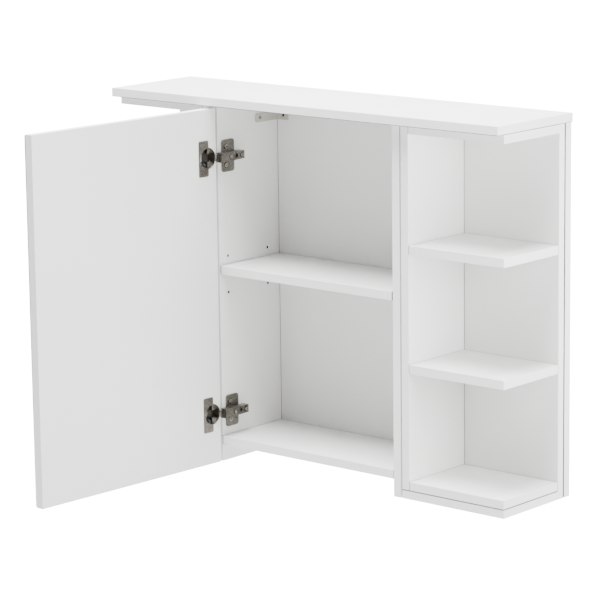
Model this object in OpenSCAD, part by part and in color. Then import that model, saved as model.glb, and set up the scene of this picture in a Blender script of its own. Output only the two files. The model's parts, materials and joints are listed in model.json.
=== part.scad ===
// Wall-hung bathroom mirror cabinet: a hinged mirror door in the middle,
// an open shelf unit on each side and one long top panel over all three.
// X runs to the right, Y to the wall, Z up. The origin is on the wall plane,
// halfway between the two wall screws.

/* [Overall] */
// Width over the top panel
total_w = 840; // [700:1:1010]
// Height from the lowest edge to the top panel's upper face
total_h = 640; // [530:1:770]
// Depth of the top panel, from the wall to its front edge
top_d = 202; // [168:1:243]
// Thickness of the coated boards
board_t = 15; // [12.5:0.5:18]
// How far the top panel stands out in front of the cabinet
front_overhang = 20; // [16:0.5:26]
// How far the top panel stands out past each end
end_overhang = 2.5; // [0:0.5:6]
// Height of the wall screws above the lowest edge
screw_h = 592; // [490:1:710]

/* [Cabinet] */
// Clear width between the cabinet walls
cabinet_inner_w = 382; // [318:1:459]
// Gap between a cabinet wall and the shelf unit beside it
unit_gap = 3; // [1:0.5:6]
// Height of the cabinet floor's underside above the lowest edge
floor_rise = 30; // [20:1:60]
// Thickness of the cabinet's back panel
cabinet_back_t = 8; // [6:0.5:10]
// Height of the adjustable shelf's underside above the lowest edge
shelf_h = 331.5; // [270:0.5:400]
// Play at each end of the adjustable shelf
shelf_end_play = 2; // [0.5:0.5:4]
// How far the adjustable shelf stays back from the front and from the back panel
shelf_depth_play = 1; // [0.5:0.5:6]

/* [Rear frame] */
// Thickness of the frame between the units and the wall
frame_t = 18; // [15:1:22]
// Width of the frame's stiles and rails
frame_w = 60; // [50:1:72]
// Depth of the shadow groove in front of each stile
groove_d = 3; // [2:0.5:4]
// Width of the shadow groove, measured from the unit's end
groove_w = 6; // [4:0.5:9]

/* [Door] */
// Angle of the door in the rest pose, measured from closed
door_open = 93; // [90:1:100]
// Gap between the cabinet's front edges and the closed door
door_gap = 2.7; // [2.6:0.1:3.4]
// How far the door covers the gap beside each cabinet wall
door_cover = 1; // [0:0.5:2]
// Gap between the door's upper edge and the top panel
door_top_gap = 5; // [3:0.5:9]
// Thickness of the mirror glass
mirror_t = 3.6; // [3:0.1:4.4]
// Thickness of the film behind the glass
film_t = 0.4; // [0.3:0.1:0.6]
// How far the glass stays back from the door's edges
mirror_inset = 1; // [0.5:0.5:3]

/* [Hinges] */
// Height of the lower hinge above the lowest edge
hinge_h = 88; // [80:1:110]
// Distance between the two hinges
hinge_pitch = 448; // [370:1:480]
// Diameter of the cup bore in the door
cup_d = 35; // [35:0.5:36]
// Depth of the cup
cup_depth = 12; // [11.8:0.1:12.2]
// Wall left between the door's edge and the cup bore
cup_edge = 2.5; // [2.5:0.1:2.8]
// Distance of the pivot pin from the door's hinged edge
pivot_in = 7; // [6.9:0.1:7.2]
// Distance of the pivot pin from the door's inner face
pivot_deep = 8.7; // [8.5:0.1:8.9]
// Diameter of the pivot pin
pivot_d = 2.4; // [2.2:0.1:2.4]
// Radial clearance of the link on the pivot pin
pivot_play = 0.05; // [0.02:0.01:0.1]
// Width of the hinge link
link_w = 11; // [9:0.5:11]
// Distance of the mounting plate's screws from the cabinet's front
plate_line = 18; // [16:0.5:20]

/* [Small hardware] */
// Diameter of a shelf pin
pin_d = 5; // [4:0.5:6]
// Distance between the rows of pin holes
pin_pitch = 32; // [26:1:38]
// Distance of the front pin holes from the cabinet's front
pin_front = 22; // [18:1:37]
// Distance of the rear pin holes from the cabinet's front
pin_rear = 125; // [104:1:130]
// Distance from each cabinet wall to the wall screw
hanger_reach = 15; // [13:0.5:18]
// Diameter of the hole for a wall screw
wall_hole_d = 6.5; // [5.5:0.5:8]
// Diameter of a glued dowel
dowel_d = 8; // [6:1:9]

/* [Hidden] */
$fn = 48;

cut = 1;               // how far a cutting shape runs past a face
play = 0.05;           // radial play of a fixed pin or screw in its hole
melamine = "white";
steel = [0.62, 0.60, 0.55];

// Heights
base_z = -screw_h;
under_top = base_z + total_h - board_t;
side_h = under_top - base_z;
bay_h = (side_h - 5 * board_t) / 3;
floor_z = base_z + floor_rise;
shelf_z = base_z + shelf_h;
pin_z = shelf_z - pin_d / 2;

// Depths, negative towards the front
body_front = front_overhang - top_d;
frame_front = -frame_t;
cabinet_back_front = frame_front - cabinet_back_t;
unit_back_front = frame_front - board_t;

// Widths from the middle
wall_in = cabinet_inner_w / 2;
wall_out = wall_in + board_t;
unit_in = wall_out + unit_gap;
bay_in = unit_in + board_t;
unit_out = total_w / 2 - end_overhang;
bay_mid = (bay_in + unit_out) / 2;
stile_in = unit_out - frame_w;

// Door, laid out closed and then turned about the pivot
door_half = wall_out + door_cover;
door_face = body_front - door_gap;
door_h = side_h - door_top_gap;
pivot = [-door_half + pivot_in, door_face - pivot_deep];
cup_r = cup_d / 2;
cup_x = -door_half + cup_edge + cup_r;
cup_wall = 0.7;
cup_in_r = cup_r - play - cup_wall;
flange_t = 1;
cup_rim = 0.9;          // how far the cup's rim stands out past its bore
cup_screw_pitch = 48;
cup_screw_x = cup_x + 6;
flange_w = 23;
flange_l = 62;
flange_x = cup_x - 2 + flange_w / 2;
flange_corner = 1.5;
bore_clearance = 0.2;   // between the cup's floor and the floor of its bore
damper_r = 3.1;
damper_x = cup_x + 6;
damper_gap = 0.6;       // between the damper and the closed arm, and the height of its nose
spring_r = 1.3;
spring_x = cup_x + 8;
spring_l = 11;
spring_foot = 4;
spring_deep = 8.2;      // keeps the spring below the reach of the arm when the door is closed
hinge_z = [base_z + hinge_h + hinge_pitch, base_z + hinge_h];

// Arm, plate and link of a hinge, beside the left wall
plate_t = 2.5;
plate_screw_pitch = 32;
plate_y = body_front + plate_line;
arm_t = 1.4;
arm_low = -wall_in + 3.5;      // edge of the arm nearest the wall
arm_top = -wall_in + 16;       // face of the arm farthest from the wall
arm_front = body_front - 8;
arm_rear = body_front + 51;
arm_half_front = 8.2;
arm_half_rear = 7;
adjust_y = body_front + 16;
slot_y = body_front + 29.5;
clamp_y = body_front + 44;
knuckle_r = pivot_d / 2 + 0.9;
link_t = 1.6;
link_turn = pivot[0] + 16;     // outer face of the link's leg
link_tail = 9;                 // how far the link's leg reaches into the arm
link_gap = 0.6;                // beside the link in the arm's front
slot_size = [6, 6.5];
wing_w = 31;
wing_l = 56;
wing_corner = 5;
wing_mid = plate_y + 6;
rail_gap = 0.3;                // between the rail and the arm's side
rail_drop = 3;                 // between the rail and the arm's inner face
rail_front = plate_y - 11;
rail_rear = arm_rear - 3;
spare_y = plate_y + 14;        // spare screw holes in the wings
spare_r = 1.6;

// Screws: shank radius, head radius, head height
small_screw = [1.45, 3.2, 1.6];
board_screw = [1.7, 3.6, 2.2];
long_screw = [2.45, 4.6, 3];
adjust_screw = [1.9, 2.9, 1];
clamp_screw = [1.9, 3.2, 1.4];
arm_screw_hole = [1.95, 1.95, 1];
arm_screw_bore = 2;            // radius of the hole through the rail

// Screw lengths
cup_screw_l = 13;
plate_screw_l = 13;
arm_screw_l = 12;
hanger_screw_l = 12;
side_screw_l = 50;
back_screw_l = 45;
base_screw_l = 28;
stile_screw_l = 28;
rail_screw_l = 24;
top_screw_l = 25;
dowel_in = 20;                 // how deep a dowel sits in its lower board
plate_screw = [pin_d / 2 - play, 3.9, 2];

// Wall hanger
hanger_t = 2.4;
hanger_leg = 59;
hanger_h = 16;
hanger_end_r = 5;
hanger_screw_in = 48;

// A board from its low corner to its high corner
module board(low, high) {
    translate(low) cube(high - low);
}

// The same shape on the right (1) or mirrored to the left (-1)
module on_side(side) {
    mirror([side < 0 ? 1 : 0, 0, 0]) children();
}

// A countersunk screw along -Z with its head's face at the origin
module screw(kind, length) {
    translate([0, 0, -length]) cylinder(r = kind[0], h = length - kind[2]);
    translate([0, 0, -kind[2]]) cylinder(r1 = kind[0], r2 = kind[1], h = kind[2]);
}

// The hole that a countersunk screw sits in
module screw_hole(kind, length) {
    translate([0, 0, -length - play]) cylinder(r = kind[0] + play, h = length + cut);
    translate([0, 0, -kind[2]]) cylinder(r1 = kind[0] + play, r2 = kind[1] + play, h = kind[2]);
    cylinder(r = kind[1] + play, h = cut);
}

// A domed screw along -Z that stands on a face with its head
module pan_screw(kind, length) {
    translate([0, 0, -length]) cylinder(r = kind[0], h = length);
    difference() {
        cylinder(r1 = kind[1], r2 = kind[1] - 0.8, h = kind[2]);
        for (turn = [0, 90]) translate([0, 0, kind[2]]) rotate(turn)
            cube([kind[1] * 1.1, 0.9, 2], center = true);
    }
}

// Directions for screws: the head faces the named way
module face_left() { rotate([0, -90, 0]) children(); }
module face_right() { rotate([0, 90, 0]) children(); }
module face_back() { rotate([-90, 0, 0]) children(); }
module face_front() { rotate([90, 0, 0]) children(); }
module face_down() { rotate([180, 0, 0]) children(); }

// Places of the repeated small hardware
module at_dowels() {
    for (y = [body_front + 30, frame_front - 30])
        translate([wall_in + board_t / 2, y, under_top]) children();
}

module at_floor_screws() {
    for (y = [body_front + 30, cabinet_back_front - 30])
        translate([wall_out, y, floor_z + board_t / 2]) children();
}

function board_z(level) = base_z + board_t + level * (board_t + bay_h);

module at_side_screws() {
    for (level = [0:3], y = [body_front + 28, unit_back_front - 28])
        translate([unit_in, y, board_z(level) + board_t / 2]) children();
}

module at_back_screws() {
    for (level = [0:3]) translate([bay_mid, frame_front, board_z(level) + board_t / 2]) children();
}

module at_base_screws() {
    for (x = [unit_in + board_t / 2, bay_mid + 30, unit_out - 20])
        translate([x, (body_front + unit_back_front) / 2, base_z]) children();
}

module at_top_screws() {
    for (y = [body_front + 32, unit_back_front - 32])
        translate([bay_mid, y, board_z(3)]) children();
}

module at_stile_screws() {
    for (part = [0.15, 0.5, 0.85])
        translate([(stile_in + unit_out) / 2, 0, base_z + part * side_h]) children();
}

module at_rail_screws() {
    for (z = [base_z + frame_w * 0.65, under_top - frame_w * 0.65], x = [wall_in / 2, bay_in + 30])
        translate([x, 0, z]) children();
}

module at_wall_screws() {
    for (side = [-1, 1]) translate([side * (wall_in - hanger_reach), 0, 0]) children();
}

module at_hanger_screws() {
    translate([wall_in, cabinet_back_front - hanger_screw_in, 0]) children();
}

// ---- Top panel and cabinet ----
module top_panel() {
    color(melamine) difference() {
        board([-total_w / 2, -top_d, under_top], [total_w / 2, 0, under_top + board_t]);
        for (side = [-1, 1]) on_side(side) {
            at_dowels() cylinder(r = dowel_d / 2, h = dowel_d * 1.25 + play);
            at_top_screws() face_down() screw_hole(board_screw, top_screw_l);
        }
    }
}

module cabinet_wall() {
    difference() {
        board([wall_in, body_front, base_z], [wall_out, frame_front, under_top]);
        for (row = [-1, 0, 1], line = [pin_front, pin_rear])
            translate([wall_in - cut, body_front + line, pin_z + row * pin_pitch])
                face_right() cylinder(r = pin_d / 2, h = 9 + cut);
        at_dowels() translate([0, 0, -20]) cylinder(r = dowel_d / 2, h = 20 + cut);
        at_floor_screws() face_right() screw_hole(long_screw, side_screw_l);
        at_hanger_screws() face_left() screw_hole(small_screw, 10);
    }
}

module cabinet_wall_left() {
    color(melamine) difference() {
        on_side(-1) cabinet_wall();
        for (z = hinge_z, step = [-1, 1])
            translate([-wall_in + cut, plate_y, z + step * plate_screw_pitch / 2])
                face_left() cylinder(r = pin_d / 2, h = 12 + cut);
    }
}

module cabinet_wall_right() {
    color(melamine) cabinet_wall();
}

module cabinet_floor() {
    color(melamine) difference() {
        board([-wall_in, body_front, floor_z], [wall_in, cabinet_back_front, floor_z + board_t]);
        for (side = [-1, 1]) on_side(side) at_floor_screws() face_right() screw_hole(long_screw, side_screw_l);
    }
}

module cabinet_back() {
    color(melamine) difference() {
        board([-wall_in, cabinet_back_front, floor_z], [wall_in, frame_front, under_top]);
        at_wall_screws() face_front() cylinder(r = wall_hole_d / 2, h = -cabinet_back_front + cut);
        for (side = [-1, 1]) on_side(side) at_rail_screws() face_back() screw_hole(board_screw, rail_screw_l);
    }
}

module adjustable_shelf() {
    color(melamine)
        board([shelf_end_play - wall_in, body_front + shelf_depth_play, shelf_z],
              [wall_in - shelf_end_play, cabinet_back_front - shelf_depth_play, shelf_z + board_t]);
}

module shelf_pins() {
    color(steel) for (side = [-1, 1], line = [pin_front, pin_rear]) on_side(side)
        translate([wall_in, body_front + line, pin_z]) {
            face_right() cylinder(r = pin_d / 2 - play, h = 8);
            face_left() cylinder(r = pin_d / 2, h = 8);
            translate([-1.2, 0, 0]) face_right() cylinder(r = pin_d / 2, h = 1.2);
        }
}

// ---- Rear frame ----
module rear_stile() {
    difference() {
        board([stile_in, frame_front, base_z], [unit_out, 0, under_top]);
        board([unit_out - groove_w, frame_front - cut, base_z - cut],
              [unit_out + cut, frame_front + groove_d, under_top + cut]);
        at_stile_screws() face_back() screw_hole(board_screw, stile_screw_l);
    }
}

module rear_stile_left() { color(melamine) on_side(-1) rear_stile(); }
module rear_stile_right() { color(melamine) rear_stile(); }

module rear_rail(low) {
    color(melamine) difference() {
        board([-stile_in, frame_front, low], [stile_in, 0, low + frame_w]);
        at_wall_screws() translate([0, cut, 0]) face_front()
            cylinder(r = wall_hole_d / 2, h = frame_t + 2 * cut);
        for (side = [-1, 1]) on_side(side) at_rail_screws() face_back() screw_hole(board_screw, rail_screw_l);
    }
}

module rear_rail_top() { rear_rail(under_top - frame_w); }
module rear_rail_bottom() { rear_rail(base_z); }

// ---- Open shelf units ----
module side_wall() {
    color(melamine) difference() {
        board([unit_in, body_front, base_z + board_t], [bay_in, unit_back_front, under_top]);
        at_side_screws() face_left() screw_hole(long_screw, side_screw_l);
        at_base_screws() face_down() screw_hole(long_screw, back_screw_l);
    }
}

module back_panel() {
    color(melamine) difference() {
        board([unit_in, unit_back_front, base_z], [unit_out, frame_front, under_top]);
        at_back_screws() face_back() screw_hole(long_screw, back_screw_l);
        at_stile_screws() face_back() screw_hole(board_screw, stile_screw_l);
        at_rail_screws() face_back() screw_hole(board_screw, rail_screw_l);
    }
}

module unit_board(level) {
    color(melamine) difference() {
        board([bay_in, body_front, board_z(level)], [unit_out, unit_back_front, board_z(level) + board_t]);
        at_side_screws() face_left() screw_hole(long_screw, side_screw_l);
        at_back_screws() face_back() screw_hole(long_screw, back_screw_l);
        at_top_screws() face_down() screw_hole(board_screw, top_screw_l);
        if (level == 0) at_base_screws() face_down() screw_hole(long_screw, base_screw_l);
    }
}

module base_plate() {
    color(melamine) difference() {
        board([unit_in, body_front, base_z], [unit_out, unit_back_front, base_z + board_t]);
        at_base_screws() face_down() screw_hole(long_screw, back_screw_l);
    }
}

module left_side_wall() { on_side(-1) side_wall(); }
module left_back_panel() { on_side(-1) back_panel(); }
module left_top_board() { on_side(-1) unit_board(3); }
module left_upper_shelf() { on_side(-1) unit_board(2); }
module left_lower_shelf() { on_side(-1) unit_board(1); }
module left_bottom_board() { on_side(-1) unit_board(0); }
module left_base_plate() { on_side(-1) base_plate(); }
module right_side_wall() { side_wall(); }
module right_back_panel() { back_panel(); }
module right_top_board() { unit_board(3); }
module right_upper_shelf() { unit_board(2); }
module right_lower_shelf() { unit_board(1); }
module right_bottom_board() { unit_board(0); }
module right_base_plate() { base_plate(); }

// ---- Door ----
// Turns what is laid out on the closed door into the rest pose
module on_door() {
    translate([pivot[0], pivot[1], 0]) rotate([0, 0, -door_open])
        translate([-pivot[0], -pivot[1], 0]) children();
}

module at_cup_screws(z) {
    for (step = [-1, 1])
        translate([cup_screw_x, door_face + flange_t, z + step * cup_screw_pitch / 2]) children();
}

module door_board() {
    color(melamine) on_door() difference() {
        board([-door_half, door_face - board_t, base_z], [door_half, door_face, base_z + door_h]);
        for (z = hinge_z) {
            translate([cup_x, door_face + cut, z]) face_front()
                cylinder(r = cup_r, h = cup_depth + bore_clearance + cut);
            at_cup_screws(z) face_back() screw_hole(small_screw, cup_screw_l);
        }
    }
}

module mirror_sheet(back, thick) {
    on_door() board([mirror_inset - door_half, back - thick, base_z + mirror_inset],
                    [door_half - mirror_inset, back, base_z + door_h - mirror_inset]);
}

module mirror_film() { color("dimgray") mirror_sheet(door_face - board_t, film_t); }
module mirror_glass() { color("lightblue") mirror_sheet(door_face - board_t - film_t, mirror_t); }

// ---- Hinges ----
module rounded_plate(width, height, corner, thick) {
    linear_extrude(thick) union() {
        square([width - 2 * corner, height], center = true);
        square([width, height - 2 * corner], center = true);
        for (x = [-1, 1], y = [-1, 1])
            translate([x * (width / 2 - corner), y * (height / 2 - corner)]) circle(corner);
    }
}

module hinge_cup(z) {
    color(steel) on_door() difference() {
        union() {
            translate([cup_x, door_face, z]) face_front() cylinder(r = cup_r - play, h = cup_depth);
            translate([cup_x, door_face, z]) face_back() cylinder(r = cup_r + cup_rim, h = flange_t);
            translate([flange_x, door_face, z]) face_back()
                rounded_plate(flange_w, flange_l, flange_corner, flange_t);
        }
        translate([cup_x, door_face + flange_t + cut, z]) face_front()
            cylinder(r = cup_in_r, h = cup_depth + flange_t + cut - cup_wall);
        translate([pivot[0], pivot[1], z - cup_r]) cylinder(r = pivot_d / 2 + play, h = cup_d);
        at_cup_screws(z) face_back() screw_hole(small_screw, cup_screw_l);
    }
}

module pivot_pin(z) {
    half = sqrt(pow(cup_r - play, 2) - pow(cup_x - pivot[0] + pivot_d / 2, 2)) - 0.1;
    color(steel) on_door() translate([pivot[0], pivot[1], z - half])
        cylinder(r = pivot_d / 2, h = 2 * half);
}

module hinge_damper(z) {
    color([0.1, 0.1, 0.1]) on_door()
        translate([damper_x, door_face, z - arm_half_front - damper_r - damper_gap]) {
            face_front() cylinder(r = damper_r, h = cup_depth - cup_wall);
            face_back() cylinder(r = damper_r - damper_gap, h = damper_gap);
        }
}

module hinge_spring(z) {
    color(steel) on_door()
        translate([spring_x, door_face - spring_deep, z - spring_l / 2]) {
            cylinder(r = spring_r, h = spring_l);
            translate([-spring_r, spring_deep - cup_depth + cup_wall, (spring_l - spring_foot) / 2])
                cube([2 * spring_r, cup_depth - cup_wall - spring_deep, spring_foot]);
        }
}

module cup_screws(z) {
    color(steel) on_door() at_cup_screws(z) face_back() screw(small_screw, cup_screw_l);
}

// The fixed link reaches out of the arm, turns into the cup and ends in a knuckle
module hinge_link(z) {
    color(steel) difference() {
        translate([0, 0, z - link_w / 2]) linear_extrude(link_w) union() {
            translate(pivot) circle(knuckle_r);
            translate([pivot[0], pivot[1] - knuckle_r]) square([link_turn - pivot[0], link_t]);
            translate([link_turn - link_t, pivot[1] - knuckle_r])
                square([link_t, arm_front + link_tail - pivot[1] + knuckle_r]);
        }
        translate([pivot[0], pivot[1], z - link_w]) cylinder(r = pivot_d / 2 + pivot_play, h = 2 * link_w);
    }
}

// Outline of the arm seen from the cabinet's inside, drawn smaller by inset
module arm_outline(inset, front, rear) {
    slope = (arm_half_front - arm_half_rear) / (arm_rear - arm_front);
    half_front = arm_half_front - slope * (front - arm_front) - inset;
    half_rear = arm_half_front - slope * (rear - arm_front) - inset;
    polygon([[front, -half_front], [rear, -half_rear], [rear, half_rear], [front, half_front]]);
}

// Extrudes a Y-Z outline along X from low to high
module along_x(low, high) {
    translate([low, 0, 0]) rotate([90, 0, 90]) linear_extrude(high - low) children();
}

module at_arm_screw(y, z) {
    translate([arm_top, y, z]) face_right() children();
}

module hinge_arm(z) {
    color(steel) difference() {
        translate([0, 0, z]) along_x(arm_low, arm_top) arm_outline(0, arm_front, arm_rear);
        translate([0, 0, z]) along_x(arm_low - cut, arm_top - arm_t)
            arm_outline(arm_t, arm_front + arm_t, arm_rear + cut);
        board([arm_low - cut, arm_front - cut, z - link_w / 2 - link_gap],
              [link_turn + 0.5, arm_front + 2 * arm_t, z + link_w / 2 + link_gap]);
        translate([arm_top, slot_y, z]) cube([4 * arm_t, slot_size[0], slot_size[1]], center = true);
        at_arm_screw(adjust_y, z) screw_hole(arm_screw_hole, arm_screw_l / 2);
        at_arm_screw(clamp_y, z) screw_hole(arm_screw_hole, arm_screw_l / 2);
    }
}

// Wings screwed to the wall and a rail that the arm clips over
module mounting_plate(z) {
    rail_top = arm_top - arm_t - rail_drop;
    color(steel) difference() {
        union() {
            translate([-wall_in, wing_mid, z]) rotate([90, 0, 90])
                rounded_plate(wing_w, wing_l, wing_corner, plate_t);
            translate([0, 0, z]) along_x(-wall_in, rail_top)
                arm_outline(arm_t + rail_gap, rail_front, rail_rear);
        }
        for (step = [-1, 1]) translate([-wall_in - cut, plate_y, z + step * plate_screw_pitch / 2])
            face_right() cylinder(r = pin_d / 2, h = plate_t + 2 * cut);
        for (step = [-1, 1]) translate([-wall_in - cut, spare_y, z + step * plate_screw_pitch / 2])
            face_right() cylinder(r = spare_r, h = plate_t + 2 * cut);
        for (y = [adjust_y, clamp_y]) at_arm_screw(y, z)
            cylinder(r = arm_screw_bore, h = 4 * (arm_top + wall_in), center = true);
    }
}

module plate_screws(z) {
    color(steel) for (step = [-1, 1])
        translate([plate_t - wall_in, plate_y, z + step * plate_screw_pitch / 2])
            face_right() pan_screw(plate_screw, plate_screw_l);
}

module arm_screws(z) {
    color(steel) {
        at_arm_screw(adjust_y, z) pan_screw(adjust_screw, arm_screw_l);
        at_arm_screw(clamp_y, z) pan_screw(clamp_screw, arm_screw_l);
    }
}

module upper_hinge_cup() { hinge_cup(hinge_z[0]); }
module upper_pivot_pin() { pivot_pin(hinge_z[0]); }
module upper_hinge_damper() { hinge_damper(hinge_z[0]); }
module upper_hinge_spring() { hinge_spring(hinge_z[0]); }
module upper_cup_screws() { cup_screws(hinge_z[0]); }
module upper_hinge_link() { hinge_link(hinge_z[0]); }
module upper_hinge_arm() { hinge_arm(hinge_z[0]); }
module upper_mounting_plate() { mounting_plate(hinge_z[0]); }
module upper_plate_screws() { plate_screws(hinge_z[0]); }
module upper_arm_screws() { arm_screws(hinge_z[0]); }
module lower_hinge_cup() { hinge_cup(hinge_z[1]); }
module lower_pivot_pin() { pivot_pin(hinge_z[1]); }
module lower_hinge_damper() { hinge_damper(hinge_z[1]); }
module lower_hinge_spring() { hinge_spring(hinge_z[1]); }
module lower_cup_screws() { cup_screws(hinge_z[1]); }
module lower_hinge_link() { hinge_link(hinge_z[1]); }
module lower_hinge_arm() { hinge_arm(hinge_z[1]); }
module lower_mounting_plate() { mounting_plate(hinge_z[1]); }
module lower_plate_screws() { plate_screws(hinge_z[1]); }
module lower_arm_screws() { arm_screws(hinge_z[1]); }

// ---- Wall hangers ----
module wall_hanger() {
    back = cabinet_back_front;
    half = hanger_h / 2;
    color([0.93, 0.92, 0.88]) difference() {
        union() {
            board([wall_in - hanger_t, back - hanger_leg + hanger_end_r, -half], [wall_in, back, half]);
            translate([wall_in - hanger_t, back - hanger_leg + hanger_end_r, 0]) face_right()
                rounded_plate(hanger_h, 2 * hanger_end_r, hanger_end_r - 0.01, hanger_t);
            board([wall_in - 2 * hanger_reach + 4, back - hanger_t, -half], [wall_in, back, half]);
        }
        at_wall_screws() face_front() cylinder(r = wall_hole_d / 2, h = -back + hanger_t + cut);
        at_hanger_screws() translate([-hanger_t, 0, 0]) face_left() screw_hole(small_screw, hanger_screw_l);
    }
}

module wall_hanger_left() { on_side(-1) wall_hanger(); }
module wall_hanger_right() { wall_hanger(); }

module hanger_screws() {
    color(steel) for (side = [-1, 1]) on_side(side)
        at_hanger_screws() translate([-hanger_t, 0, 0]) face_left() screw(small_screw, hanger_screw_l);
}

// ---- Assembly screws and dowels ----
module unit_screws() {
    color(steel) {
        at_side_screws() face_left() screw(long_screw, side_screw_l);
        at_back_screws() face_back() screw(long_screw, back_screw_l);
        at_base_screws() face_down() screw(long_screw, base_screw_l);
    }
}

module left_unit_screws() { on_side(-1) unit_screws(); }
module right_unit_screws() { unit_screws(); }

module frame_screws() {
    color(steel) for (side = [-1, 1]) on_side(side) {
        at_stile_screws() face_back() screw(board_screw, stile_screw_l);
        at_rail_screws() face_back() screw(board_screw, rail_screw_l);
    }
}

module top_panel_screws() {
    color(steel) for (side = [-1, 1]) on_side(side)
        at_top_screws() face_down() screw(board_screw, top_screw_l);
}

module cabinet_floor_screws() {
    color(steel) for (side = [-1, 1]) on_side(side)
        at_floor_screws() face_right() screw(long_screw, side_screw_l);
}

module wall_dowels() {
    color("burlywood") for (side = [-1, 1]) on_side(side)
        at_dowels() translate([0, 0, -dowel_in]) cylinder(r = dowel_d / 2 - play, h = dowel_in + dowel_d * 1.25);
}

top_panel();
cabinet_wall_left();
cabinet_wall_right();
cabinet_floor();
cabinet_back();
adjustable_shelf();
shelf_pins();
rear_stile_left();
rear_stile_right();
rear_rail_top();
rear_rail_bottom();
left_side_wall();
left_back_panel();
left_top_board();
left_upper_shelf();
left_lower_shelf();
left_bottom_board();
left_base_plate();
right_side_wall();
right_back_panel();
right_top_board();
right_upper_shelf();
right_lower_shelf();
right_bottom_board();
right_base_plate();
door_board();
mirror_film();
mirror_glass();
upper_hinge_cup();
upper_pivot_pin();
upper_hinge_damper();
upper_hinge_spring();
upper_cup_screws();
upper_hinge_link();
upper_hinge_arm();
upper_mounting_plate();
upper_plate_screws();
upper_arm_screws();
lower_hinge_cup();
lower_pivot_pin();
lower_hinge_damper();
lower_hinge_spring();
lower_cup_screws();
lower_hinge_link();
lower_hinge_arm();
lower_mounting_plate();
lower_plate_screws();
lower_arm_screws();
wall_hanger_left();
wall_hanger_right();
hanger_screws();
left_unit_screws();
right_unit_screws();
frame_screws();
top_panel_screws();
cabinet_floor_screws();
wall_dowels();
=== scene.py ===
"""Finishes and fine parts of a wall-hung mirror cabinet, laid out as an add-on.

The boards keep their packed shapes and get rounded edges and a melamine coat. The mirror,
the hinge pressings, the links and the hinge, frame, top and hanger screws are worked out here
as surfaces; the screws of the units and the cabinet floor are only painted.
"""
import json
import math
import bpy
import numpy as np
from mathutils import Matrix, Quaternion, Vector


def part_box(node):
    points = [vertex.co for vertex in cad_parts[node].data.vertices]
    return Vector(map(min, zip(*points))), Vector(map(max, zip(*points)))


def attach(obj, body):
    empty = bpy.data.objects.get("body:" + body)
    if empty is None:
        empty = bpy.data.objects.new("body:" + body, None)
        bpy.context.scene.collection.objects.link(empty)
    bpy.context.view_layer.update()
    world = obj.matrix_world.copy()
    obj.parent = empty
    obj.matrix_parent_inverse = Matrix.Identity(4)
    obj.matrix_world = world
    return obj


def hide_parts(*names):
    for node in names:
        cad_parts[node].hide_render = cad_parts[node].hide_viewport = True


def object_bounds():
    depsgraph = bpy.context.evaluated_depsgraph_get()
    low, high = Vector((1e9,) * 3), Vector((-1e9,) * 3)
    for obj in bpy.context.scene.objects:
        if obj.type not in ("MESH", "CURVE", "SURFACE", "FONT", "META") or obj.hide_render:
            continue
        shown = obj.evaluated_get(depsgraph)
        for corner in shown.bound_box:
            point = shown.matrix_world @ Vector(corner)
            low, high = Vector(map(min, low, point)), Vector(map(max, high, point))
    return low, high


bl_info = {
    "name": "Mirror cabinet finishes",
    "version": (1, 0, 0),
    "blender": (4, 5, 0),
    "location": "View3D > Sidebar > Mirror cabinet",
    "description": "Coats the boards and makes the mirror, hinges and screws of a mirror cabinet",
    "category": "Object",
}

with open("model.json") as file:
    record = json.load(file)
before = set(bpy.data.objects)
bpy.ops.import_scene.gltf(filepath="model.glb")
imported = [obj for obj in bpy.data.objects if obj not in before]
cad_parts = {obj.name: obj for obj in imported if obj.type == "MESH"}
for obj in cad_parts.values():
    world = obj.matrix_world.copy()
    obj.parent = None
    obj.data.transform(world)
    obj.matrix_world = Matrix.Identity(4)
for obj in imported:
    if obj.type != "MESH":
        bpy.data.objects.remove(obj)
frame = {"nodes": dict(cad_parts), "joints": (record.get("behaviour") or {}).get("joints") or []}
CAD_BOX = [list(corner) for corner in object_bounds()]
NODES = frame["nodes"]
MM = 0.001
JOINT = frame["joints"][0]
PIVOT = np.array(JOINT["pos_m"][:2])
DOOR_OPEN = -math.radians(JOINT["range_deg"][0])

UNIT_BOARDS = ("side_wall", "back_panel", "top_board", "upper_shelf", "lower_shelf",
               "bottom_board", "base_plate")
UPRIGHT_X = ["cabinet_wall_left", "cabinet_wall_right", "left_side_wall", "right_side_wall"]
UPRIGHT_Y = ["cabinet_back", "rear_stile_left", "rear_stile_right", "rear_rail_top",
             "rear_rail_bottom", "left_back_panel", "right_back_panel"]
LEVEL = ["top_panel", "cabinet_floor", "adjustable_shelf"] + [
    f"{side}_{board}" for side in ("left", "right") for board in UNIT_BOARDS[2:]]
HINGES = ("upper", "lower")

# Head radius, head height, shank radius and length of each kind of screw, in millimetres
SCREWS = {"cup": (3.2, 1.6, 1.4, 12), "plate": (3.9, 1.6, 2.4, 13), "adjust": (2.9, 1.2, 1.9, 12),
          "clamp": (3.2, 1.2, 1.9, 12), "frame": (3.6, 2.2, 1.7, 23), "top": (3.6, 2.2, 1.7, 24),
          "hanger": (3.2, 1.6, 1.4, 11)}
PAN_HEADS = ("plate", "adjust", "clamp")
# Radius of the painted shade round each screw of an arm and its plate, and round the slot
# between the arm's two screws
SCREW_SHADE_R = {"adjust": 3.7 * MM, "clamp": 4.1 * MM, "plate": 4.6 * MM, "slot": 3.6 * MM}
PLATE_HEAD = 2.0 * MM
CUP_SCREW_PROUD = 0.15 * MM
FRAME_SCREW_SUNK = 0.25 * MM
TOP_SCREW_SUNK = 0.05 * MM
HANGER_SEAT = 2.5 * MM
RAIL_SCREW_IN = 39 * MM
BAY_SCREW_IN = 30 * MM
STILE_SHARES = (0.15, 0.5, 0.85)

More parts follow.
